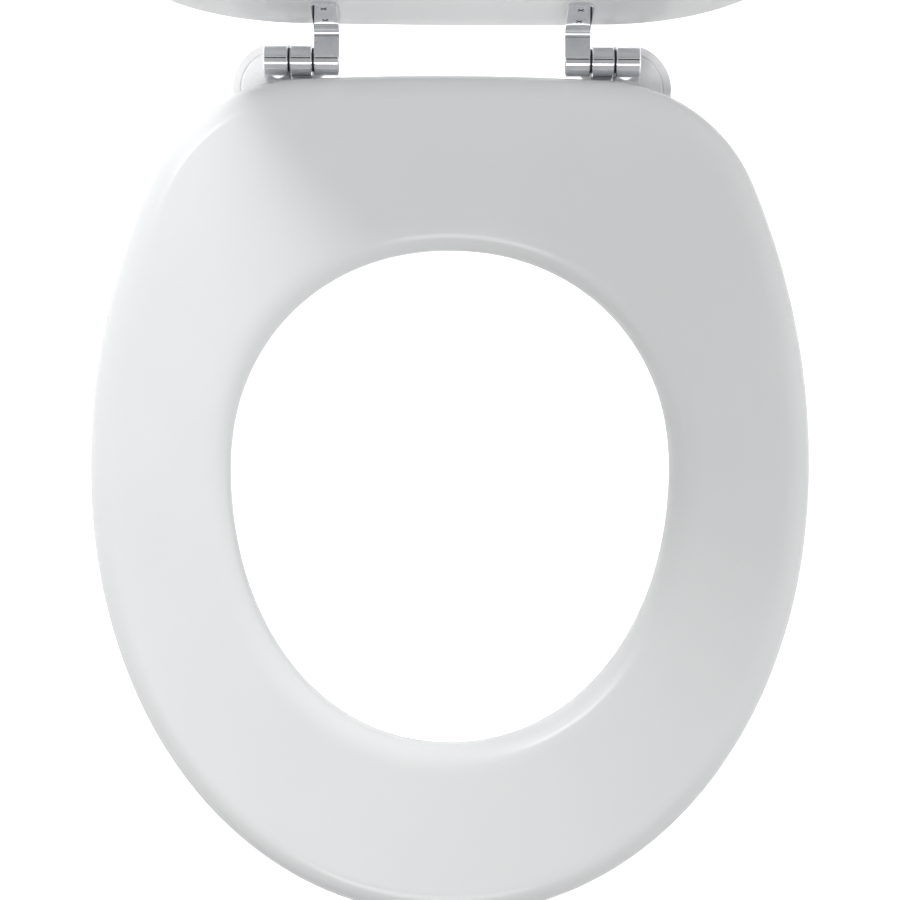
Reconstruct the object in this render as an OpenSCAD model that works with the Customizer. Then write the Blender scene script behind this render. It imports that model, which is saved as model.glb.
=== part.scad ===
// Toilet seat: a lacquered wooden ring and lid on two chromed hinges, with the rods, washers and nuts
// that clamp it to the bowl. The ring is down and the lid stands open.
// The origin is on the bowl's rim, midway between the two fixing rods. X runs right, Y back and Z up.

/* [Ring] */
// Width of the ring at its widest place
ring_w = 375; // [355:1:395]
// Distance from the widest place back to the rear edge
ring_rear_l = 203; // [190:1:214]
// Distance from the widest place forward to the front
ring_front_l = 235; // [215:1:255]
// Thickness of the ring
ring_t = 17; // [16:0.5:19]
// Radius of the slightly bowed rear edge in plan
rear_r = 1500; // [1200:50:2500]
// Radius of the two rear corners in plan
corner_r = 88; // [75:1:100]
// Radius of the sides in plan, behind the widest place
side_r = 375; // [340:1:420]
// Fullness of the front curve, where 2 is an ellipse
front_fullness = 2.07; // [2:0.01:2.2]
// Height of the ring's underside above the bowl's rim
ring_lift = 10; // [9:0.5:11]
// Gap in plan between the knuckles' front and the ring's rear edge, which leans over them
ring_gap = 0; // [0:0.1:2]

/* [Hole in the ring] */
// Width of the hole
hole_w = 228.5; // [205:0.5:245]
// Distance from the hole's widest place back to its rear edge
hole_rear_l = 112.5; // [95:0.5:120]
// Distance from the hole's widest place forward to its front edge
hole_front_l = 144; // [125:1:155]
// Width of the band behind the hole
rear_band = 91.5; // [85:0.5:105]
// Fullness of the hole's curve, where 2 is an ellipse
hole_fullness = 2.09; // [2:0.01:2.2]

/* [Edges of the ring and lid] */
// Width of the rounding along the ring's outer edge
outer_round_w = 13.5; // [8:0.5:18]
// Width of the softer rounding round the hole
hole_round_w = 17; // [8:0.5:20]
// Width of the small rounding along the undersides
under_round_w = 5; // [2:0.5:6]
// Height of the small rounding along the undersides, up to the widest line
under_round_h = 8.5; // [8:0.5:9]
// Width of the rounding along the lid's upper edge
lid_round_w = 11; // [8:0.5:14]

/* [Lid] */
// Thickness of the lid
lid_t = 16; // [14:0.5:18]
// How far the lid reaches past the ring at the sides and the front
lid_overhang = 1; // [0:0.5:3]
// Distance from the hinge axis forward to the lid's rear edge
lid_set_forward = 6; // [5.5:0.5:8]
// Gap between the ring and the closed lid
lid_gap = 3; // [3:0.1:5]
// Angle of the standing lid, measured from closed
lid_open = 99; // [97:1:105]

/* [Hinges] */
// Distance between the two fixing rods
fixing_spacing = 184; // [176:1:190]
// Height of the hinge axis above the bowl's rim
axis_h = 14.5; // [14.5:0.5:16]
// Diameter of the knuckles
knuckle_d = 17.5; // [16:0.5:18]
// Width of a post
post_w = 12.8; // [11:0.1:14]
// Width of the ring hinge's knuckle
ring_knuckle_w = 11.6; // [10:0.1:13]
// Width of a lid arm
arm_w = 13.2; // [11:0.1:14]
// Diameter of the hinge pins
pin_d = 5; // [4:0.5:5.5]
// Running clearance round a hinge pin
pin_play = 0.05; // [0.03:0.01:0.1]
// Wall that closes the inner end of a lid arm's bore
pin_cap = 2; // [1:0.5:4]
// Thickness of a spacer between two knuckles
spacer_t = 0.9; // [0.6:0.1:1.2]
// Diameter of a spacer
spacer_d = 12.4; // [9:0.2:14]
// Gap beside a spacer, between it and each knuckle
side_play = 0.05; // [0.03:0.01:0.1]
// Chamfer on the knuckles' edges
edge_chamfer = 0.6; // [0.3:0.1:1]

/* [Hinge plates] */
// Thickness of the plate under the ring
plate_t = 3; // [2.5:0.5:3.5]
// Width of the plate under the ring
plate_w = 18; // [16:0.5:24]
// Distance from the hinge axis to where the plate widens
plate_neck = 24; // [24:1:27]
// Distance from the hinge axis to the plate's front end
plate_reach = 64; // [62:1:72]
// Thickness of the lid arm's leg
leg_t = 4.5; // [3.5:0.1:4.6]
// Thickness of the lid arm's flange
flange_t = 2; // [1.8:0.1:2.4]
// Distance from the hinge axis to the flange's end
flange_reach = 46; // [45:1:52]
// Radius inside the bend between leg and flange
bend_r = 4.4; // [2:0.2:5]
// Radius of the plate's and flange's end corners
end_corner_r = 3; // [1:0.5:5]

/* [Screws] */
// Head diameter of the wood screws
screw_head_d = 8; // [7:0.2:8.4]
// Thread diameter of the wood screws
screw_d = 4; // [3:0.2:4.4]
// Depth of the countersunk head
screw_head_h = 2; // [1.6:0.1:2.2]
// Length of the ring hinge's screws
ring_screw_l = 14; // [10:1:16]
// Length of the lid arm's screws
lid_screw_l = 14; // [10:1:16]
// Distance between the two screws of a plate or flange
screw_pitch = 17; // [16:0.5:18]
// Distance from the last screw to the end of its plate or flange
screw_end = 6; // [5.5:0.5:8]

/* [Buffers] */
// Length of a ring buffer
ring_buffer_l = 34; // [24:1:40]
// Width of a ring buffer
ring_buffer_w = 13; // [11:0.5:18]
// Diameter of a lid buffer
lid_buffer_d = 18; // [12:1:24]
// Diameter of the peg that holds a buffer
peg_d = 5; // [4:0.5:6]
// Length of the peg that holds a buffer
peg_l = 7; // [5:0.5:9]
// Place of the front ring buffers round the band, in degrees forward of the widest place
front_buffer_angle = 58; // [45:1:70]
// Place of the rear ring buffers round the band, in degrees behind the widest place
rear_buffer_angle = 28; // [15:1:32]
// Place of the lid buffers, in degrees forward of the widest place
lid_buffer_angle = 40; // [20:1:44]
// Clearance left under the lid's buffers when the lid is shut
shut_clearance = 0.3; // [0.2:0.05:0.5]

/* [Fixings] */
// Thickness of the bowl's rim that the fixings clamp
bowl_t = 20; // [12:1:32]
// Diameter of the fixing rods
rod_d = 6; // [5:1:6]
// Length of the fixing rods
rod_l = 120; // [100:5:150]
// Depth that a rod is screwed into its post
rod_grip = 8; // [6:0.5:8]
// Diameter of the base discs
disc_d = 48; // [44:1:60]
// Thickness of the base discs
disc_t = 3; // [2:0.5:3]
// Diameter of the groove in a base disc
disc_groove_d = 40; // [36:1:42]
// Diameter of the two holes in a base disc
disc_hole_d = 7.4; // [6.6:0.2:8]
// Distance between the two holes in a base disc
disc_offset = 13.2; // [10:0.2:14]
// Diameter of the small cone washers
cone_small_d = 22.4; // [20:0.2:23]
// Diameter of the large cone washers
cone_large_d = 25.2; // [24:0.2:28]
// Height of a cone washer's slope for each millimetre of radius
cone_slope = 0.6; // [0.5:0.05:0.7]
// Wall of the cone washers
cone_wall = 1.8; // [1.4:0.1:2.2]
// Depth that the small cone washer reaches into the bowl's hole
cone_entry = 2; // [1:0.5:3]
// Diameter of the penny washers
penny_d = 25; // [20:1:30]
// Thickness of the penny washers
penny_t = 1.5; // [1:0.1:2]
// Diameter of the spring washers
spring_d = 11.8; // [10:0.2:12.6]
// Thickness of the spring washers
spring_t = 1.6; // [1.2:0.1:2]
// Width of the nuts across their flats
nut_af = 13; // [10:1:13]
// Height of the nuts
nut_h = 6; // [5:0.5:8]
// Radial clearance of the washers round the rods
washer_play = 0.3; // [0.2:0.1:0.5]

/* [Hidden] */
$fn = 64;

lacquer = [0.93, 0.94, 0.95];
chrome = [0.72, 0.73, 0.75];
steel = [0.46, 0.44, 0.41];
clear_plastic = [0.87, 0.87, 0.88];
white_plastic = [0.95, 0.95, 0.96];
black_plastic = [0.1, 0.1, 0.1];

// a hair past a face, so that cuts go right through
over = 1;

// Heights
ring_top = ring_lift + ring_t;
lid_bottom = ring_top + lid_gap;

// Places along Y: the widest lines of the ring and of its hole
knuckle_r = knuckle_d / 2;
ring_rear_y = -knuckle_r - ring_gap;
ring_wide_y = ring_rear_y - ring_rear_l;
hole_wide_y = ring_rear_y - rear_band - hole_rear_l;
lid_rear_l = -lid_set_forward - ring_wide_y;

// Places along X, from the post inward
rod_x = fixing_spacing / 2;
knuckle_gap = spacer_t + 2 * side_play;
post_out_x = rod_x + post_w / 2;
post_in_x = rod_x - post_w / 2;
ring_knuckle_out_x = post_in_x - knuckle_gap;
ring_knuckle_in_x = ring_knuckle_out_x - ring_knuckle_w;
ring_knuckle_x = (ring_knuckle_out_x + ring_knuckle_in_x) / 2;
arm_out_x = ring_knuckle_in_x - knuckle_gap;
arm_in_x = arm_out_x - arm_w;
arm_x = (arm_out_x + arm_in_x) / 2;

// Flange and plate
flange_bottom = lid_bottom - flange_t;
plate_bottom = ring_lift - plate_t;
lid_screw_ys = [-flange_reach + screw_end, -flange_reach + screw_end + screw_pitch];
ring_screw_ys = [-plate_reach + screw_end, -plate_reach + screw_end + screw_pitch];

// Fixings below the bowl, from the top down
cone_hole_r = rod_d / 2 + washer_play;
cone_tip_r = cone_hole_r + cone_wall;
cone_small_top = cone_entry - bowl_t;
cone_small_base = cone_small_top - (cone_small_d / 2 - cone_tip_r) * cone_slope - cone_wall;
cone_hollow_r = cone_small_d / 2 - cone_wall;
cone_large_top = cone_small_base + (cone_hollow_r - cone_tip_r) * cone_slope;
cone_large_base = cone_large_top - (cone_large_d / 2 - cone_tip_r) * cone_slope - cone_wall;
penny_bottom = cone_large_base - penny_t;
spring_bottom = penny_bottom - spring_t;

// Steps of the curves: rear edge, corner, side and front, then the two roundings of an edge
rear_steps = 4;
corner_steps = 12;
side_steps = 9;
front_steps = 24;
round_steps = 7;
under_steps = 3;

// Plan curves
// A plan is [half width, rear length, front length, rear radius, corner radius, side radius, fullness]. Its
// origin is on its widest line. Arcs make the rear edge, the corner and the side, each running into the
// next, and the front is half an oval. Each point comes with its outward direction as [x, y, nx, ny].
function rear_centre(p) = [0, p[1] - p[3]];
function side_centre(p) = [p[0] - p[5], 0];
// The corner's centre is one corner radius short of both arcs that it runs into
function corner_centre(p) =
    let (
        across = side_centre(p) - rear_centre(p),
        d = norm(across),
        to_rear = p[3] - p[4],
        to_side = p[5] - p[4],
        along = (to_rear * to_rear - to_side * to_side + d * d) / (2 * d),
        out = sqrt(to_rear * to_rear - along * along)
    )
    rear_centre(p) + (along * across + out * [across[1], -across[0]]) / d;
function bearing(from, to) = atan2(to[1] - from[1], to[0] - from[0]);
function arc_points(centre, r, first, last, steps) = [
    for (i = [0 : steps - 1])
        let (a = first + (last - first) * i / steps)
        [centre[0] + r * cos(a), centre[1] + r * sin(a), cos(a), sin(a)]
];
function rear_half(p) =
    let (
        corner = corner_centre(p),
        rear_turn = bearing(rear_centre(p), corner),
        side_turn = bearing(side_centre(p), corner)
    )
    concat(
        arc_points(rear_centre(p), p[3], 90, rear_turn, rear_steps),
        arc_points(corner, p[4], rear_turn, side_turn, corner_steps),
        arc_points(side_centre(p), p[5], side_turn, 0, side_steps)
    );
function oval_normal(x, y, a, b, n) =
    let (gx = sign(x) * pow(abs(x / a), n - 1) / a, gy = sign(y) * pow(abs(y / b), n - 1) / b)
    [gx, gy] / norm([gx, gy]);
function front_points(p) = [
    for (i = [0 : front_steps])
        let (
            a = 90 * i / front_steps,
            x = i == front_steps ? 0 : p[0] * pow(cos(a), 2 / p[6]),
            y = -p[2] * pow(sin(a), 2 / p[6]),
            d = oval_normal(x, y, p[0], p[2], p[6])
        )
        [x, y, d[0], d[1]]
];
function mirrored(q) = [for (i = [len(q) - 2 : -1 : 1]) [-q[i][0], q[i][1], -q[i][2], q[i][3]]];
function plan(p) = let (half = concat(rear_half(p), front_points(p))) concat(half, mirrored(half));

ring_plan = [ring_w / 2, ring_rear_l, ring_front_l, rear_r, corner_r, side_r, front_fullness];
lid_plan = [
    ring_w / 2 + lid_overhang, lid_rear_l, ring_front_l + lid_overhang, rear_r, corner_r, side_r,
    front_fullness
];

// The hole's edge as seen from its own middle, in the direction of each point of the outer edge
function hole_length(y) = y > 0 ? hole_rear_l : hole_front_l;
function hole_point(q) =
    let (
        v = [q[0], q[1] + ring_wide_y - hole_wide_y],
        u = v / norm(v),
        b = hole_length(u[1]),
        a = hole_w / 2,
        r = pow(pow(abs(u[0] / a), hole_fullness) + pow(abs(u[1] / b), hole_fullness), -1 / hole_fullness),
        d = oval_normal(u[0] * r, u[1] * r, a, b, hole_fullness)
    )
    [u[0] * r, u[1] * r, d[0], d[1]];

// An edge's profile from the underside up, as [distance in from the edge, height]
function under_round() = [
    for (i = [0 : under_steps - 1])
        let (a = 90 * i / under_steps)
        [under_round_w * (1 - sin(a)), under_round_h * (1 - cos(a))]
];
function upper_round(w, t) = [
    for (i = [0 : round_steps])
        let (a = 90 * i / round_steps)
        [w * (1 - cos(a)), under_round_h + (t - under_round_h) * sin(a)]
];
function edge_profile(w, t) = concat(under_round(), upper_round(w, t));
function reversed(v) = [for (i = [len(v) - 1 : -1 : 0]) v[i]];

// Faces between one closed row of points and the next, all rows having the same number of points
function band(row, next, count) = [
    for (i = [0 : count - 1])
        let (j = (i + 1) % count)
        [row * count + i, next * count + i, next * count + j, row * count + j]
];

// The ring: rows run up the hole's edge and down the outer edge, and close on themselves
module ring_body() {
    outer = plan(ring_plan);
    hole = [for (q = outer) hole_point(q)];
    count = len(outer);
    hole_rows = edge_profile(hole_round_w, ring_t);
    outer_rows = reversed(edge_profile(outer_round_w, ring_t));
    rows = len(hole_rows) + len(outer_rows);
    points = concat(
        [for (e = hole_rows) for (q = hole)
            [q[0] + q[2] * e[0], q[1] + q[3] * e[0] + hole_wide_y, ring_lift + e[1]]],
        [for (e = outer_rows) for (q = outer)
            [q[0] - q[2] * e[0], q[1] - q[3] * e[0] + ring_wide_y, ring_lift + e[1]]]
    );
    faces = [for (r = [0 : rows - 1]) for (f = band(r, (r + 1) % rows, count)) f];
    polyhedron(points, faces, convexity = 6);
}

// The lid as it lies shut: rows run up its edge. Its flat underside and top each fan out from a middle
// point.
module lid_body() {
    outer = plan(lid_plan);
    count = len(outer);
    edge = edge_profile(lid_round_w, lid_t);
    rows = len(edge);
    top = (rows - 1) * count;
    middle = rows * count;
    points = concat(
        [for (e = edge) for (q = outer)
            [q[0] - q[2] * e[0], q[1] - q[3] * e[0] + ring_wide_y, lid_bottom + e[1]]],
        [[0, ring_wide_y, lid_bottom], [0, ring_wide_y, lid_bottom + lid_t]]
    );
    faces = concat(
        [for (i = [0 : count - 1]) [middle, (i + 1) % count, i]],
        [for (r = [0 : rows - 2]) for (f = band(r + 1, r, count)) f],
        [for (i = [0 : count - 1]) [middle + 1, top + i, top + (i + 1) % count]]
    );
    polyhedron(points, faces, convexity = 4);
}

// Placing
module on_left() { mirror([1, 0, 0]) children(); }
module opened() {
    translate([0, 0, axis_h]) rotate([-lid_open, 0, 0]) translate([0, 0, -axis_h]) children();
}
module along_x(x) { translate([x, 0, axis_h]) rotate([0, 90, 0]) children(); }
module on_rod(z) { translate([rod_x, 0, z]) children(); }

// The middle of the band between the hole and the outer edge, at an angle forward of the widest place
function band_point(a) =
    let (
        l = a > 0 ? (ring_front_l + hole_front_l) / 2 : (ring_rear_l + hole_rear_l) / 2,
        w = (ring_w + hole_w) / 4
    )
    [w * cos(a), (ring_wide_y + hole_wide_y) / 2 - l * sin(a), atan2(-l * cos(a), -w * sin(a))];

module peg_hole(p, z) { translate([p[0], p[1], z - over]) cylinder(h = peg_l + over, d = peg_d); }

module both_sides() {
    children();
    mirror([1, 0, 0]) children();
}

// Wood screws: countersunk, with a cross recess, pointing up from z
module screw(z, l) {
    slot_l = screw_head_d * 0.55;
    slot_w = screw_head_d * 0.11;
    slot_h = screw_head_h * 0.6;
    translate([0, 0, z]) difference() {
        rotate_extrude() polygon([
            [0, 0], [screw_head_d / 2, 0], [screw_d / 2, screw_head_h],
            [screw_d / 2, l - screw_d / 2], [0, l]
        ]);
        for (a = [0, 90]) rotate([0, 0, a + 45])
            translate([-slot_l / 2, -slot_w / 2, -over]) cube([slot_l, slot_w, slot_h + over]);
    }
}

// The space that a screw fills, open below its head
module screw_space(z, l) {
    translate([0, 0, z]) rotate_extrude() polygon([
        [0, -over], [screw_head_d / 2, -over], [screw_head_d / 2, 0], [screw_d / 2, screw_head_h],
        [screw_d / 2, l - screw_d / 2], [0, l]
    ]);
}

module ring() {
    color(lacquer) difference() {
        ring_body();
        both_sides() {
            peg_hole(band_point(front_buffer_angle), ring_lift);
            peg_hole(band_point(-rear_buffer_angle), ring_lift);
            for (y = ring_screw_ys)
                translate([ring_knuckle_x, y, 0]) screw_space(plate_bottom, ring_screw_l);
        }
    }
}

module lid() {
    color(lacquer) opened() difference() {
        lid_body();
        both_sides() {
            peg_hole(band_point(lid_buffer_angle), lid_bottom);
            for (y = lid_screw_ys) translate([arm_x, y, 0]) screw_space(flange_bottom, lid_screw_l);
        }
    }
}

// A peg that stands on z, rooted in the buffer below
module peg(z) { translate([0, 0, z - over]) cylinder(h = peg_l + over, d = peg_d); }

module ring_buffer(a) {
    p = band_point(a);
    straight = ring_buffer_l - ring_buffer_w;
    color(white_plastic) translate([p[0], p[1], 0]) {
        rotate([0, 0, p[2]]) linear_extrude(ring_lift) union() {
            square([straight, ring_buffer_w], center = true);
            for (s = [-1, 1]) translate([s * straight / 2, 0]) circle(d = ring_buffer_w);
        }
        peg(ring_lift);
    }
}

module lid_buffer() {
    p = band_point(lid_buffer_angle);
    foot = ring_top + shut_clearance;
    color(white_plastic) opened() translate([p[0], p[1], 0]) {
        translate([0, 0, foot])
            cylinder(h = lid_bottom - foot, d1 = lid_buffer_d - lid_gap, d2 = lid_buffer_d);
        peg(lid_bottom);
    }
}

// A knuckle of width w whose inner face is at x
module knuckle(x, w) {
    along_x(x) rotate_extrude() polygon([
        [0, 0], [knuckle_r - edge_chamfer, 0], [knuckle_r, edge_chamfer], [knuckle_r, w - edge_chamfer],
        [knuckle_r - edge_chamfer, w], [0, w]
    ]);
}

module pin_bore(x, l) { along_x(x) cylinder(h = l, d = pin_d + 2 * pin_play); }

// An outline in Y and Z, carried along X
module side_profile(x, w) {
    translate([x, 0, 0]) rotate([90, 0, 90]) linear_extrude(w) children();
}

module post() {
    grip_top = disc_t + rod_grip;
    color(chrome) difference() {
        union() {
            knuckle(post_in_x, post_w);
            side_profile(post_in_x, post_w)
                translate([-knuckle_r, disc_t]) square([knuckle_d, axis_h - disc_t]);
        }
        along_x(post_in_x - over) cylinder(h = post_w + 2 * over, d = pin_d);
        on_rod(disc_t - over) cylinder(h = grip_top - disc_t + over, d = rod_d);
    }
}

module ring_hinge() {
    color(chrome) difference() {
        union() {
            knuckle(ring_knuckle_in_x, ring_knuckle_w);
            translate([ring_knuckle_x, 0, plate_bottom]) linear_extrude(plate_t) union() {
                translate([-ring_knuckle_w / 2, -plate_reach + end_corner_r])
                    square([ring_knuckle_w, plate_reach - end_corner_r]);
                plate_outline(plate_w, plate_neck, plate_reach);
            }
        }
        pin_bore(ring_knuckle_in_x - over, ring_knuckle_w + 2 * over);
        for (y = ring_screw_ys) translate([ring_knuckle_x, y, 0]) screw_space(plate_bottom, ring_screw_l);
    }
}

// A flat strip from y = -from to y = -to, with rounded corners at its far end
module plate_outline(w, from, to) {
    translate([-w / 2, -to + end_corner_r]) square([w, to - from - end_corner_r]);
    translate([-w / 2 + end_corner_r, -to]) square([w - 2 * end_corner_r, end_corner_r + over]);
    for (s = [-1, 1]) translate([s * (w / 2 - end_corner_r), -to + end_corner_r]) circle(r = end_corner_r);
}

// The lid arm as the lid lies shut: knuckle, leg up its front, and flange forward under the lid
module lid_arm() {
    leg_front = -knuckle_r;
    leg_back = leg_front + leg_t;
    color(chrome) opened() difference() {
        union() {
            knuckle(arm_in_x, arm_w);
            side_profile(arm_in_x, arm_w) {
                translate([leg_front, axis_h]) square([leg_t, lid_bottom - axis_h]);
                difference() {
                    translate([leg_front - bend_r, flange_bottom - bend_r])
                        square([bend_r + over, bend_r + over]);
                    translate([leg_front - bend_r, flange_bottom - bend_r]) circle(r = bend_r);
                }
            }
            translate([arm_x, 0, flange_bottom]) linear_extrude(flange_t)
                plate_outline(arm_w, -leg_back, flange_reach);
        }
        pin_bore(arm_in_x + pin_cap, arm_w - pin_cap + over);
        for (y = lid_screw_ys) translate([arm_x, y, 0]) screw_space(flange_bottom, lid_screw_l);
    }
}

module ring_screws() {
    color(steel) for (y = ring_screw_ys)
        translate([ring_knuckle_x, y, 0]) screw(plate_bottom, ring_screw_l);
}

module lid_screws() {
    color(chrome) opened() for (y = lid_screw_ys)
        translate([arm_x, y, 0]) screw(flange_bottom, lid_screw_l);
}

// The pin is fast in the post and turns in the other two knuckles
module hinge_pin() {
    pin_in_x = arm_in_x + pin_cap;
    color(steel) along_x(pin_in_x) cylinder(h = post_out_x - pin_in_x, d = pin_d);
}

module spacer(x) {
    color(black_plastic) along_x(x + side_play) difference() {
        cylinder(h = spacer_t, d = spacer_d);
        translate([0, 0, -over]) cylinder(h = spacer_t + 2 * over, d = pin_d);
    }
}

module outer_spacer() { spacer(ring_knuckle_out_x); }
module inner_spacer() { spacer(arm_out_x); }

// The rod passes the disc's off-centre hole, so most of the disc lies forward, under the ring
module base_disc() {
    groove_w = 1;
    groove_h = 0.5;
    color(clear_plastic) translate([rod_x, -disc_offset, 0]) difference() {
        cylinder(h = disc_t, d = disc_d);
        translate([0, 0, disc_t - groove_h]) difference() {
            cylinder(h = groove_h + over, d = disc_groove_d);
            translate([0, 0, -over]) cylinder(h = groove_h + 3 * over, d = disc_groove_d - 2 * groove_w);
        }
        for (y = [0, disc_offset])
            translate([0, y, -over]) cylinder(h = disc_t + 2 * over, d = disc_hole_d);
    }
}

module fixing_rod() {
    chamfer = rod_d / 8;
    r = rod_d / 2;
    color(steel) on_rod(disc_t + rod_grip - rod_l) rotate_extrude() polygon([
        [0, 0], [r - chamfer, 0], [r, chamfer], [r, rod_l - chamfer], [r - chamfer, rod_l], [0, rod_l]
    ]);
}

// A hollow cone that points up: its slope starts at the tip ring and ends in an upright rim
module cone_washer(top, d) {
    base = top - (d / 2 - cone_tip_r) * cone_slope - cone_wall;
    hollow_r = d / 2 - cone_wall;
    hollow_top = base + (hollow_r - cone_tip_r) * cone_slope;
    on_rod(0) rotate_extrude() polygon([
        [cone_hole_r, hollow_top], [cone_tip_r, hollow_top], [hollow_r, base], [d / 2, base],
        [d / 2, base + cone_wall], [cone_tip_r, top], [cone_hole_r, top]
    ]);
}

module small_cone() { color(white_plastic) cone_washer(cone_small_top, cone_small_d); }
module large_cone() { color(white_plastic) cone_washer(cone_large_top, cone_large_d); }

module flat_ring(z, h, d) {
    on_rod(z) difference() {
        cylinder(h = h, d = d);
        translate([0, 0, -over]) cylinder(h = h + 2 * over, r = cone_hole_r);
    }
}

module penny_washer() { color(steel) flat_ring(penny_bottom, penny_t, penny_d); }

module spring_washer() {
    split_w = 0.8;
    color(steel) difference() {
        flat_ring(spring_bottom, spring_t, spring_d);
        on_rod(spring_bottom - over) rotate([0, 0, 35])
            translate([0, -split_w / 2, 0]) cube([spring_d, split_w, spring_t + 2 * over]);
    }
}

module nut() {
    corner = nut_af / 2 / cos(30);
    bevel = corner - nut_af / 2;
    bevel_h = bevel * tan(30);
    color(steel) on_rod(spring_bottom - nut_h) difference() {
        intersection() {
            cylinder(h = nut_h, r = corner, $fn = 6);
            rotate_extrude() polygon([
                [0, 0], [corner - bevel, 0], [corner, bevel_h], [corner, nut_h - bevel_h],
                [corner - bevel, nut_h], [0, nut_h]
            ]);
        }
        translate([0, 0, -over]) cylinder(h = nut_h + 2 * over, d = rod_d);
    }
}

ring();
on_left() ring_buffer(front_buffer_angle);  // front_left_buffer
ring_buffer(front_buffer_angle);  // front_right_buffer
on_left() ring_buffer(-rear_buffer_angle);  // rear_left_buffer
ring_buffer(-rear_buffer_angle);  // rear_right_buffer
on_left() ring_hinge();  // left_ring_hinge
ring_hinge();  // right_ring_hinge
on_left() ring_screws();  // left_ring_screws
ring_screws();  // right_ring_screws
lid();
on_left() lid_buffer();  // left_lid_buffer
lid_buffer();  // right_lid_buffer
on_left() lid_arm();  // left_lid_arm
lid_arm();  // right_lid_arm
on_left() lid_screws();  // left_lid_screws
lid_screws();  // right_lid_screws
on_left() post();  // left_post
post();  // right_post
on_left() hinge_pin();  // left_hinge_pin
hinge_pin();  // right_hinge_pin
on_left() outer_spacer();  // left_outer_spacer
outer_spacer();  // right_outer_spacer
on_left() inner_spacer();  // left_inner_spacer
inner_spacer();  // right_inner_spacer
on_left() base_disc();  // left_base_disc
base_disc();  // right_base_disc
on_left() fixing_rod();  // left_fixing_rod
fixing_rod();  // right_fixing_rod
on_left() small_cone();  // left_small_cone
small_cone();  // right_small_cone
on_left() large_cone();  // left_large_cone
large_cone();  // right_large_cone
on_left() penny_washer();  // left_penny_washer
penny_washer();  // right_penny_washer
on_left() spring_washer();  // left_spring_washer
spring_washer();  // right_spring_washer
on_left() nut();  // left_nut
nut();  // right_nut
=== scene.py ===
"""Looks for the toilet seat: ring and lid in gloss lacquer, chromed hinges and the plated fixings.

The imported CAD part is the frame. Sizes in the tables below are millimetres and repeat part.scad's values.
Everything in Blender is in metres, in the part's own frame: X right, Y back, Z up from the bowl's rim.
"""

import math

import bmesh
import bpy
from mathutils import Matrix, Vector


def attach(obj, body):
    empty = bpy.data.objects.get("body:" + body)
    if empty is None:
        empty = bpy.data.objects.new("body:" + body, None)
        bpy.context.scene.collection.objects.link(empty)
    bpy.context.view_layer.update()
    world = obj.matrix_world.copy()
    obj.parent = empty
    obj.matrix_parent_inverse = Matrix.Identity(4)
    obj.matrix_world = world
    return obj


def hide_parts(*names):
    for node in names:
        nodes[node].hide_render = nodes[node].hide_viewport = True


MM = 0.001

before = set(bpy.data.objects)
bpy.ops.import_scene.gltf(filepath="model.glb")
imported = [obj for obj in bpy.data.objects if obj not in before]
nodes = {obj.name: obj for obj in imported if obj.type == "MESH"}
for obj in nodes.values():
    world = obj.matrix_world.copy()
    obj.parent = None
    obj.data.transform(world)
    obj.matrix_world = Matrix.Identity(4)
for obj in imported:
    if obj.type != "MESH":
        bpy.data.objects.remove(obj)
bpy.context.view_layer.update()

# Ring and lid, in millimetres
RING_W = 375.0
RING_REAR_L = 203.0
RING_FRONT_L = 235.0
RING_T = 17.0
RING_LIFT = 10.0
CORNER_R = 88.0
REAR_R = 1500.0
SIDE_R = 375.0
FRONT_FULLNESS = 2.07
HOLE_W = 228.5
HOLE_REAR_L = 112.5
HOLE_FRONT_L = 144.0
HOLE_FULLNESS = 2.09
REAR_BAND = 91.5
OUTER_ROUND_W = 13.5
HOLE_ROUND_W = 17.0
UNDER_ROUND_W = 5.0
UNDER_ROUND_H = 8.5
LID_ROUND_W = 11.0
LID_T = 16.0
LID_OVERHANG = 1.0
LID_SET_FORWARD = 6.0
LID_GAP = 3.0
LID_OPEN = 99.0
AXIS_H = 14.5
KNUCKLE_R = 8.75
RING_GAP = 0.0
RING_REAR_Y = -KNUCKLE_R - RING_GAP
RING_WIDE_Y = RING_REAR_Y - RING_REAR_L
HOLE_WIDE_Y = RING_REAR_Y - REAR_BAND - HOLE_REAR_L
LID_BOTTOM = RING_LIFT + RING_T + LID_GAP

# Fixings, in millimetres
ROD_X = 92.0
ROD_R = 3.0
ROD_L = 120.0
ROD_TOP = 11.0
THREAD_PITCH = 1.0


# Plan curves and edge profiles, in millimetres
REAR_STEPS = 14
CORNER_STEPS = 40
SIDE_STEPS = 24
FRONT_STEPS = 96
ROUND_STEPS = 18
UNDER_STEPS = 9


def oval_normal(x, y, a, b, n):
    gx = math.copysign(abs(x / a) ** (n - 1) / a, x)
    gy = math.copysign(abs(y / b) ** (n - 1) / b, y)
    length = math.hypot(gx, gy)
    return gx / length, gy / length


def arc_points(centre, radius, first, last, steps):
    angles = [first + (last - first) * i / steps for i in range(steps)]
    return [(centre[0] + radius * math.cos(a), centre[1] + radius * math.sin(a), math.cos(a), math.sin(a))
            for a in angles]


def bearing(start, end):
    return math.atan2(end[1] - start[1], end[0] - start[0])


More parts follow.
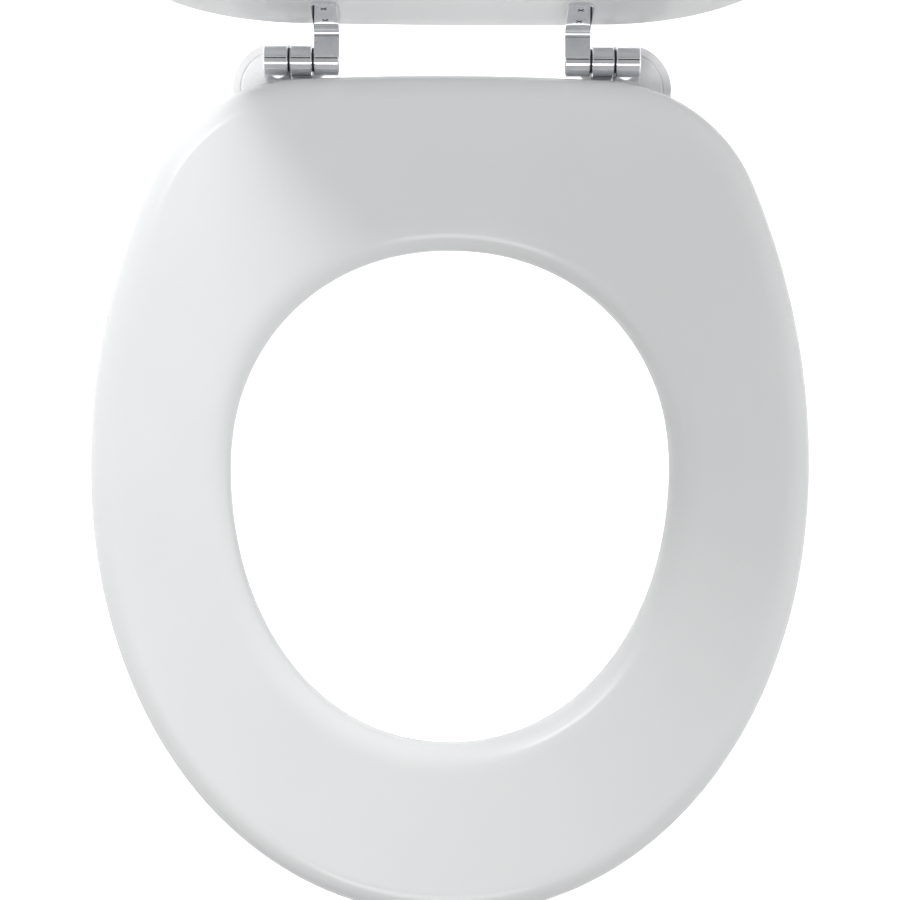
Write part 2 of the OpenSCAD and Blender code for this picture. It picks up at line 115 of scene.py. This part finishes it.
def plan(half_w, rear_l, front_l):
    """Points (x, y, nx, ny) round an outline, clockwise from the rear middle; the origin is on its widest line."""
    rear_centre = (0.0, rear_l - REAR_R)
    side_centre = (half_w - SIDE_R, 0.0)
    across = (side_centre[0] - rear_centre[0], side_centre[1] - rear_centre[1])
    distance = math.hypot(*across)
    to_rear = REAR_R - CORNER_R
    to_side = SIDE_R - CORNER_R
    along = (to_rear ** 2 - to_side ** 2 + distance ** 2) / (2 * distance)
    out = math.sqrt(to_rear ** 2 - along ** 2)
    corner = (rear_centre[0] + (along * across[0] + out * across[1]) / distance,
              rear_centre[1] + (along * across[1] - out * across[0]) / distance)
    rear_turn = bearing(rear_centre, corner)
    side_turn = bearing(side_centre, corner)
    half = arc_points(rear_centre, REAR_R, math.pi / 2, rear_turn, REAR_STEPS)
    half += arc_points(corner, CORNER_R, rear_turn, side_turn, CORNER_STEPS)
    half += arc_points(side_centre, SIDE_R, side_turn, 0.0, SIDE_STEPS)
    for i in range(FRONT_STEPS + 1):
        a = math.pi / 2 * i / FRONT_STEPS
        x = half_w * math.cos(a) ** (2 / FRONT_FULLNESS) if i < FRONT_STEPS else 0.0
        y = -front_l * math.sin(a) ** (2 / FRONT_FULLNESS)
        half.append((x, y) + oval_normal(x, y, half_w, front_l, FRONT_FULLNESS))
    return half + [(-x, y, -nx, ny) for x, y, nx, ny in reversed(half[1:-1])]


def hole_point(q):
    x, y = q[0], q[1] + RING_WIDE_Y - HOLE_WIDE_Y
    length = math.hypot(x, y)
    ux, uy = x / length, y / length
    a = HOLE_W / 2
    b = HOLE_REAR_L if uy > 0 else HOLE_FRONT_L
    r = (abs(ux / a) ** HOLE_FULLNESS + abs(uy / b) ** HOLE_FULLNESS) ** (-1 / HOLE_FULLNESS)
    return (ux * r, uy * r) + oval_normal(ux * r, uy * r, a, b, HOLE_FULLNESS)


def edge_profile(round_w, thickness):
    """(distance in from the edge, height) from the underside up."""
    rows = []
    for i in range(UNDER_STEPS):
        a = math.pi / 2 * i / UNDER_STEPS
        rows.append((UNDER_ROUND_W * (1 - math.sin(a)), UNDER_ROUND_H * (1 - math.cos(a))))
    for i in range(ROUND_STEPS + 1):
        a = math.pi / 2 * i / ROUND_STEPS
        rows.append((round_w * (1 - math.cos(a)), UNDER_ROUND_H + (thickness - UNDER_ROUND_H) * math.sin(a)))
    return rows


def make_piece(name, points, faces, body, stands_for, material):
    mesh = bpy.data.meshes.new(name)
    mesh.from_pydata([Vector(p) * MM for p in points], [], faces)
    bm = bmesh.new()
    bm.from_mesh(mesh)
    bmesh.ops.recalc_face_normals(bm, faces=bm.faces)
    bm.to_mesh(mesh)
    bm.free()
    mesh.shade_smooth()
    piece = bpy.data.objects.new(name, mesh)
    bpy.context.scene.collection.objects.link(piece)
    mesh.materials.append(material)
    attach(piece, body)
    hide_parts(*stands_for)
    return piece


def band(row, following, count):
    return [(row * count + i, row * count + (i + 1) % count,
             following * count + (i + 1) % count, following * count + i) for i in range(count)]


def refined(node, name, body, material, width, segments=3, angle=28.0):
    """A copy of a CAD node with softly rounded edges, in place of the node."""
    mesh = nodes[node].data.copy()
    mesh.name = name
    bm = bmesh.new()
    bm.from_mesh(mesh)
    bmesh.ops.remove_doubles(bm, verts=bm.verts, dist=1e-6)
    bmesh.ops.dissolve_limit(bm, angle_limit=math.radians(0.4), verts=bm.verts, edges=bm.edges)
    bm.to_mesh(mesh)
    bm.free()
    if mesh.attributes.get("custom_normal"):
        mesh.attributes.remove(mesh.attributes["custom_normal"])
    mesh.shade_smooth()
    mesh.materials.clear()
    mesh.materials.append(material)
    piece = bpy.data.objects.new(name, mesh)
    bpy.context.scene.collection.objects.link(piece)
    bevel = piece.modifiers.new("rounded edges", "BEVEL")
    bevel.width = width * MM
    bevel.segments = segments
    bevel.limit_method = "ANGLE"
    bevel.angle_limit = math.radians(angle)
    bevel.miter_outer = "MITER_ARC"
    bevel.harden_normals = True
    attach(piece, body)
    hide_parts(node)
    return piece


def new_material(name):
    mat = bpy.data.materials.new(name)
    mat.use_nodes = True
    tree = mat.node_tree
    shader = tree.nodes["Principled BSDF"]
    return mat, tree, shader


def link(tree, source, target):
    tree.links.new(source, target)


def noise(tree, scale, detail=3.0, roughness=0.5, stretch=(1, 1, 1)):
    coords = tree.nodes.new("ShaderNodeTexCoord")
    mapping = tree.nodes.new("ShaderNodeMapping")
    mapping.inputs["Scale"].default_value = stretch
    tex = tree.nodes.new("ShaderNodeTexNoise")
    tex.inputs["Scale"].default_value = scale
    tex.inputs["Detail"].default_value = detail
    tex.inputs["Roughness"].default_value = roughness
    link(tree, coords.outputs["Object"], mapping.inputs["Vector"])
    link(tree, mapping.outputs["Vector"], tex.inputs["Vector"])
    return tex.outputs["Fac"]


def ranged(tree, value, low, high, lo_in=0.3, hi_in=0.7):
    node = tree.nodes.new("ShaderNodeMapRange")
    node.inputs["From Min"].default_value = lo_in
    node.inputs["From Max"].default_value = hi_in
    node.inputs["To Min"].default_value = low
    node.inputs["To Max"].default_value = high
    link(tree, value, node.inputs["Value"])
    return node.outputs["Result"]


def tinted(tree, value, first, second):
    ramp = tree.nodes.new("ShaderNodeValToRGB")
    ramp.color_ramp.elements[0].position = 0.35
    ramp.color_ramp.elements[0].color = (*first, 1)
    ramp.color_ramp.elements[1].position = 0.65
    ramp.color_ramp.elements[1].color = (*second, 1)
    link(tree, value, ramp.inputs["Fac"])
    return ramp.outputs["Color"]


def bumped(tree, shader, value, distance, strength, after=None):
    node = tree.nodes.new("ShaderNodeBump")
    node.inputs["Distance"].default_value = distance
    node.inputs["Strength"].default_value = strength
    link(tree, value, node.inputs["Height"])
    if after is not None:
        link(tree, after, node.inputs["Normal"])
    link(tree, node.outputs["Normal"], shader.inputs["Normal"])
    return node.outputs["Normal"]


def lacquer(name, dark, pale, rough_low, rough_high, gloss):
    mat, tree, shader = new_material(name)
    cloud = noise(tree, 9.0, 2.0)
    peel = noise(tree, 420.0, 2.0)
    link(tree, tinted(tree, cloud, dark, pale), shader.inputs["Base Color"])
    link(tree, ranged(tree, noise(tree, 60.0, 4.0), rough_low, rough_high), shader.inputs["Roughness"])
    shader.inputs["Specular IOR Level"].default_value = gloss
    bumped(tree, shader, peel, 0.00002, 0.10)
    return mat


def chrome(name, rough_low, rough_high, satin=None):
    """Polished chrome; where the surface faces along satin, it is brushed and less glossy."""
    mat, tree, shader = new_material(name)
    shader.inputs["Metallic"].default_value = 1.0
    link(tree, tinted(tree, noise(tree, 90.0), (0.70, 0.71, 0.73), (0.76, 0.77, 0.79)), shader.inputs["Base Color"])
    polish = ranged(tree, noise(tree, 500.0, 5.0), rough_low, rough_high)
    if satin is not None:
        coords = tree.nodes.new("ShaderNodeTexCoord")
        facing = tree.nodes.new("ShaderNodeVectorMath")
        facing.operation = "DOT_PRODUCT"
        link(tree, coords.outputs["Normal"], facing.inputs[0])
        facing.inputs[1].default_value = satin
        added = ranged(tree, facing.outputs["Value"], 0.0, 0.22, 0.985, 0.997)
        total = tree.nodes.new("ShaderNodeMath")
        total.operation = "ADD"
        link(tree, polish, total.inputs[0])
        link(tree, added, total.inputs[1])
        polish = total.outputs[0]
    link(tree, polish, shader.inputs["Roughness"])
    bumped(tree, shader, noise(tree, 900.0, 4.0, stretch=(1, 1, 0.15)), 0.000004, 0.25)
    return mat


def plated_steel(name, dark, pale, rough_low, rough_high, stretch):
    mat, tree, shader = new_material(name)
    shader.inputs["Metallic"].default_value = 1.0
    brushed = noise(tree, 700.0, 5.0, 0.6, stretch)
    link(tree, tinted(tree, brushed, dark, pale), shader.inputs["Base Color"])
    link(tree, ranged(tree, brushed, rough_low, rough_high), shader.inputs["Roughness"])
    bumped(tree, shader, brushed, 0.00002, 0.25)
    return mat


def plastic(name, dark, pale, rough_low, rough_high, grain, subsurface=0.0, relief=0.2):
    mat, tree, shader = new_material(name)
    link(tree, tinted(tree, noise(tree, 40.0, 4.0), dark, pale), shader.inputs["Base Color"])
    texture = noise(tree, grain, 3.0)
    link(tree, ranged(tree, texture, rough_low, rough_high), shader.inputs["Roughness"])
    shader.inputs["Subsurface Weight"].default_value = subsurface
    shader.inputs["Subsurface Radius"].default_value = (1.0, 1.0, 1.0)
    shader.inputs["Subsurface Scale"].default_value = 0.002
    bumped(tree, shader, texture, 0.00003, relief)
    return mat


RING_LACQUER = lacquer("ring_lacquer", (0.795, 0.805, 0.812), (0.815, 0.823, 0.828), 0.10, 0.16, 0.38)
# The lid has the ring's lacquer, with its colour painted paler: painted light that makes up for the shade on the
# lid's underside.
LID_LACQUER_PAINTED_PALER = lacquer("lid_lacquer_painted_paler", (0.84, 0.85, 0.857), (0.86, 0.868, 0.873), 0.16, 0.22, 0.22)
LEG_TILT = math.radians(LID_OPEN - 90)
CHROME = chrome("polished_chrome", 0.05, 0.10)
ARM_CHROME = chrome("arm_chrome", 0.05, 0.10, (0.0, math.sin(LEG_TILT), math.cos(LEG_TILT)))
SCREW_CHROME = chrome("screw_chrome", 0.10, 0.16)
BRIGHT_STEEL = plated_steel("bright_steel", (0.42, 0.40, 0.38), (0.56, 0.54, 0.51), 0.22, 0.34, (1, 1, 1))
DULL_STEEL = plated_steel("dull_steel", (0.24, 0.225, 0.205), (0.34, 0.32, 0.295), 0.30, 0.45, (1, 1, 1))
MILKY_PLASTIC = plastic("milky_plastic", (0.86, 0.86, 0.87), (0.90, 0.90, 0.91), 0.26, 0.34, 250.0, 0.3, 0.04)
WHITE_PLASTIC = plastic("white_plastic", (0.80, 0.81, 0.82), (0.85, 0.86, 0.87), 0.35, 0.5, 1400.0, 0.1)
BLACK_PLASTIC = plastic("black_plastic", (0.008, 0.008, 0.009), (0.016, 0.016, 0.017), 0.4, 0.55, 1400.0)


def build_ring():
    outer = plan(RING_W / 2, RING_REAR_L, RING_FRONT_L)
    hole = [hole_point(q) for q in outer]
    count = len(outer)
    points = [(x + nx * e, y + ny * e + HOLE_WIDE_Y, RING_LIFT + h)
              for e, h in edge_profile(HOLE_ROUND_W, RING_T) for x, y, nx, ny in hole]
    points += [(x - nx * e, y - ny * e + RING_WIDE_Y, RING_LIFT + h)
               for e, h in reversed(edge_profile(OUTER_ROUND_W, RING_T)) for x, y, nx, ny in outer]
    rows = len(points) // count
    faces = [f for r in range(rows) for f in band(r, (r + 1) % rows, count)]
    return make_piece("lacquered_ring", points, faces, "ring_body", ["ring"], RING_LACQUER)


def opened(p):
    a = -math.radians(LID_OPEN)
    y, z = p[1], p[2] - AXIS_H
    return (p[0], y * math.cos(a) - z * math.sin(a), y * math.sin(a) + z * math.cos(a) + AXIS_H)


def build_lid():
    outer = plan(RING_W / 2 + LID_OVERHANG, -LID_SET_FORWARD - RING_WIDE_Y, RING_FRONT_L + LID_OVERHANG)
    count = len(outer)
    edge = edge_profile(LID_ROUND_W, LID_T)
    inner = edge[0][0] + 12.0
    rows = [(inner, 0.0)] + edge + [(LID_ROUND_W + 12.0, LID_T)]
    points = [opened((x - nx * e, y - ny * e + RING_WIDE_Y, LID_BOTTOM + h))
              for e, h in rows for x, y, nx, ny in outer]
    faces = [f for r in range(len(rows) - 1) for f in band(r, r + 1, count)]
    for row, height in ((0, 0.0), (len(rows) - 1, LID_T)):
        points.append(opened((0, RING_WIDE_Y, LID_BOTTOM + height)))
        faces += [(len(points) - 1, row * count + i, row * count + (i + 1) % count) for i in range(count)]
    return make_piece("lacquered_lid", points, faces, "lid_body", ["lid"], LID_LACQUER_PAINTED_PALER)


# Threaded rods, in millimetres
THREAD_SEGMENTS = 20
THREAD_ROOT_R = 2.5
ROD_END = 0.8


def rod_core():
    """Core of a rod at the origin, its top at z = 0: a plain round bar at the thread's root, with chamfered ends."""
    profile = [(0.0, -ROD_L), (THREAD_ROOT_R - ROD_END * 0.6, -ROD_L), (THREAD_ROOT_R, -ROD_L + ROD_END * 0.6),
               (THREAD_ROOT_R, -ROD_END * 0.6), (THREAD_ROOT_R - ROD_END * 0.6, 0.0), (0.0, 0.0)]
    around = THREAD_SEGMENTS * 2
    points, faces = [], []
    for r, z in profile[1:-1]:
        points += [(r * math.cos(2 * math.pi * i / around), r * math.sin(2 * math.pi * i / around), z)
                   for i in range(around)]
    for k in range(len(profile) - 3):
        faces += band(k, k + 1, around)
    faces.append(tuple(range(around)))
    faces.append(tuple((len(profile) - 3) * around + i for i in range(around)))
    return points, faces


def rod_thread():
    """The ridge of the thread: a right-hand helix that fades out at both ends."""
    turns = int((ROD_L - 2 * ROD_END) / THREAD_PITCH)
    steps = turns * THREAD_SEGMENTS
    start = -ROD_L + ROD_END
    root, crest = THREAD_PITCH * 0.46, THREAD_PITCH * 0.09
    points, faces = [], []
    for k in range(steps + 1):
        a = 2 * math.pi * k / THREAD_SEGMENTS
        z = start + THREAD_PITCH * k / THREAD_SEGMENTS
        fade = min(1.0, k / THREAD_SEGMENTS, (steps - k) / THREAD_SEGMENTS)
        tip = THREAD_ROOT_R - 0.05 + (ROD_R - THREAD_ROOT_R + 0.03) * fade
        for r, dz in ((THREAD_ROOT_R - 0.1, -root), (tip, -crest), (tip, crest), (THREAD_ROOT_R - 0.1, root)):
            points.append((r * math.cos(a), r * math.sin(a), z + dz))
    for k in range(steps):
        for i in range(4):
            j = (i + 1) % 4
            faces.append((4 * k + i, 4 * k + j, 4 * k + 4 + j, 4 * k + 4 + i))
    faces.append((0, 1, 2, 3))
    faces.append(tuple(4 * steps + i for i in (3, 2, 1, 0)))
    return points, faces


def build_rod(side, x):
    core_points, core_faces = rod_core()
    ridge_points, ridge_faces = rod_thread()
    offset = len(core_points)
    points = [(px + x, py, pz + ROD_TOP) for px, py, pz in core_points + ridge_points]
    faces = core_faces + [tuple(i + offset for i in f) for f in ridge_faces]
    rod = make_piece(side + "_threaded_rod", points, faces, "root", [side + "_fixing_rod"], DULL_STEEL)
    rod.data.set_sharp_from_angle(angle=math.radians(40))
    return rod


build_ring()
build_lid()
for side, sign in (("left", -1), ("right", 1)):
    build_rod(side, sign * ROD_X)
    refined(side + "_post", side + "_rounded_post", "root", CHROME, 0.35)
    refined(side + "_ring_hinge", side + "_rounded_ring_hinge", "ring_body", CHROME, 0.35)
    refined(side + "_lid_arm", side + "_rounded_lid_arm", "lid_body", ARM_CHROME, 0.35)
    refined(side + "_ring_screws", side + "_rounded_ring_screws", "ring_body", BRIGHT_STEEL, 0.12, 2)
    refined(side + "_lid_screws", side + "_rounded_lid_screws", "lid_body", SCREW_CHROME, 0.12, 2)
    refined(side + "_hinge_pin", side + "_rounded_hinge_pin", "root", BRIGHT_STEEL, 0.3)
    refined(side + "_outer_spacer", side + "_rounded_outer_spacer", "root", BLACK_PLASTIC, 0.15, 2)
    refined(side + "_inner_spacer", side + "_rounded_inner_spacer", "root", BLACK_PLASTIC, 0.15, 2)
    refined(side + "_base_disc", side + "_rounded_base_disc", "root", MILKY_PLASTIC, 0.4)
    refined(side + "_small_cone", side + "_rounded_small_cone", "root", WHITE_PLASTIC, 0.3)
    refined(side + "_large_cone", side + "_rounded_large_cone", "root", WHITE_PLASTIC, 0.3)
    refined(side + "_penny_washer", side + "_rounded_penny_washer", "root", DULL_STEEL, 0.2)
    refined(side + "_spring_washer", side + "_rounded_spring_washer", "root", DULL_STEEL, 0.15)
    refined(side + "_nut", side + "_rounded_nut", "root", BRIGHT_STEEL, 0.2)
    refined(side + "_lid_buffer", side + "_rounded_lid_buffer", "lid_body", WHITE_PLASTIC, 0.5)
    for end in ("front", "rear"):
        name = end + "_" + side
        refined(name + "_buffer", name + "_rounded_buffer", "ring_body", WHITE_PLASTIC, 0.8)


# Camera, in metres and photo pixels
CAMERA_HEIGHT = 1.25
CAMERA_BACK = 0.20415
CAMERA_LEFT = 0.0
CAMERA_ROLL = math.radians(0.3)
FOCAL_PX = 2358
PHOTO_PX = 900
SENSOR = 36.0

camera_data = bpy.data.cameras.new("camera")
camera_data.sensor_width = SENSOR
camera_data.lens = FOCAL_PX / PHOTO_PX * SENSOR
camera_data.clip_end = 20
camera = bpy.data.objects.new("camera", camera_data)
camera.location = (-CAMERA_LEFT, -CAMERA_BACK, CAMERA_HEIGHT)
camera.rotation_euler = (0, 0, CAMERA_ROLL)
bpy.context.scene.collection.objects.link(camera)
bpy.context.scene.camera = camera


# Floor, in metres
FLOOR_Z = -0.1092


def ray_switch(tree, lit, white):
    """The white shader for camera, glossy and transmission rays, and the lit one for the rest."""
    path = tree.nodes.new("ShaderNodeLightPath")
    first = tree.nodes.new("ShaderNodeMath")
    first.operation = "MAXIMUM"
    second = tree.nodes.new("ShaderNodeMath")
    second.operation = "MAXIMUM"
    link(tree, path.outputs["Is Camera Ray"], first.inputs[0])
    link(tree, path.outputs["Is Glossy Ray"], first.inputs[1])
    link(tree, first.outputs[0], second.inputs[0])
    link(tree, path.outputs["Is Transmission Ray"], second.inputs[1])
    mix = tree.nodes.new("ShaderNodeMixShader")
    link(tree, second.outputs[0], mix.inputs[0])
    link(tree, lit, mix.inputs[1])
    link(tree, white, mix.inputs[2])
    return mix.outputs[0]


def build_floor():
    mesh = bpy.data.meshes.new("floor")
    size = 4.0
    mesh.from_pydata([(-size, -size, FLOOR_Z), (size, -size, FLOOR_Z), (size, size, FLOOR_Z), (-size, size, FLOOR_Z)],
                     [], [(0, 1, 2, 3)])
    floor = bpy.data.objects.new("floor", mesh)
    bpy.context.scene.collection.objects.link(floor)
    mat = bpy.data.materials.new("pale_floor")
    mat.cycles.emission_sampling = "NONE"
    mat.use_nodes = True
    tree = mat.node_tree
    tree.nodes.clear()
    out = tree.nodes.new("ShaderNodeOutputMaterial")
    matte = tree.nodes.new("ShaderNodeBsdfDiffuse")
    matte.inputs["Color"].default_value = (0.8, 0.8, 0.8, 1)
    glow = tree.nodes.new("ShaderNodeEmission")
    glow.inputs["Strength"].default_value = 0.70
    both = tree.nodes.new("ShaderNodeAddShader")
    link(tree, matte.outputs[0], both.inputs[0])
    link(tree, glow.outputs[0], both.inputs[1])
    link(tree, ray_switch(tree, matte.outputs[0], both.outputs[0]), out.inputs["Surface"])
    mesh.materials.append(mat)


def area_light(name, place, aim, size, watts, colour=(1, 1, 1)):
    data = bpy.data.lights.new(name, "AREA")
    data.shape = "RECTANGLE"
    data.size, data.size_y = size
    data.energy = watts
    data.color = colour
    lamp = bpy.data.objects.new(name, data)
    lamp.location = place
    lamp.rotation_mode = "QUATERNION"
    lamp.rotation_quaternion = (Vector(aim) - Vector(place)).to_track_quat("-Z", "Y")
    bpy.context.scene.collection.objects.link(lamp)
    return lamp


def build_lamp(name, azimuth, elevation, distance, width, watts):
    around = math.radians(azimuth)
    up = math.radians(elevation)
    away = Vector((math.cos(around) * math.cos(up), math.sin(around) * math.cos(up), math.sin(up)))
    lamp = area_light(name, AIM + away * distance, AIM, (width, width), watts)
    lamp.visible_glossy = False


def build_card(name, place, turn, width, depth, brightness):
    """A flat card over the object that only mirror-like surfaces show."""
    mesh = bpy.data.meshes.new(name)
    x, y = width / 2, depth / 2
    mesh.from_pydata([(-x, -y, 0), (x, -y, 0), (x, y, 0), (-x, y, 0)], [], [(0, 1, 2, 3)])
    card = bpy.data.objects.new(name, mesh)
    card.location = place
    card.rotation_euler = (0, 0, math.radians(turn))
    bpy.context.scene.collection.objects.link(card)
    card.visible_camera = False
    card.visible_diffuse = False
    card.visible_transmission = False
    card.visible_shadow = False
    mat = bpy.data.materials.new(name)
    mat.cycles.emission_sampling = "FRONT_BACK"
    mat.use_nodes = True
    tree = mat.node_tree
    tree.nodes.clear()
    out = tree.nodes.new("ShaderNodeOutputMaterial")
    glow = tree.nodes.new("ShaderNodeEmission")
    glow.inputs["Strength"].default_value = brightness
    link(tree, glow.outputs[0], out.inputs["Surface"])
    mesh.materials.append(mat)


def build_world():
    world = bpy.data.worlds.new("studio")
    bpy.context.scene.world = world
    world.use_nodes = True
    tree = world.node_tree
    tree.nodes.clear()
    out = tree.nodes.new("ShaderNodeOutputWorld")
    dim = tree.nodes.new("ShaderNodeBackground")
    dim.inputs["Color"].default_value = (1, 1, 1, 1)
    dim.inputs["Strength"].default_value = 0.157
    white = tree.nodes.new("ShaderNodeBackground")
    white.inputs["Color"].default_value = (1, 1, 1, 1)
    white.inputs["Strength"].default_value = 1.0
    link(tree, ray_switch(tree, dim.outputs[0], white.outputs[0]), out.inputs["Surface"])


# Lamps: name, bearing and elevation in degrees, distance, width and power. Shiny surfaces don't show them.
AIM = Vector((0.0, -0.2, 0.0))
LAMPS = [
    ("key", 122, 24, 1.7, 0.6, 9.3),
    ("small_key", 130, 28, 1.7, 0.3, 6.0),
    ("left_back_fill", 135, 40, 1.8, 0.9, 4.4),
    ("left_front_fill", 225, 62, 1.8, 0.9, 13.0),
    ("right_fill", 0, 20, 1.8, 0.9, 14.2),
]

# Cards that only shiny surfaces show: name, place of the middle, turn in degrees, width, depth and brightness
CARDS = [
    ("grey_ceiling", (0.0, -1.1, 6.0), 0, 2.3, 4.2, 0.5),
    ("dark_strip", (0.0, 0.37, 5.98), 0, 1.5, 0.74, 0.0),
    ("front_window", (-0.375, -4.0, 6.0), 0, 2.25, 1.6, 4.2),
    ("grey_front", (0.0, -14.4, 6.0), 0, 16.0, 19.2, 0.55),
    ("left_window", (-1.53, 1.80, 6.0), 47, 1.5, 0.8, 7.5),
    ("left_glow", (-2.57, 3.42, 6.0), 35, 3.4, 3.3, 2.7),
]

build_floor()
build_world()
for lamp in LAMPS:
    build_lamp(*lamp)
for card in CARDS:
    build_card(*card)

bpy.context.scene.view_settings.view_transform = "Standard"
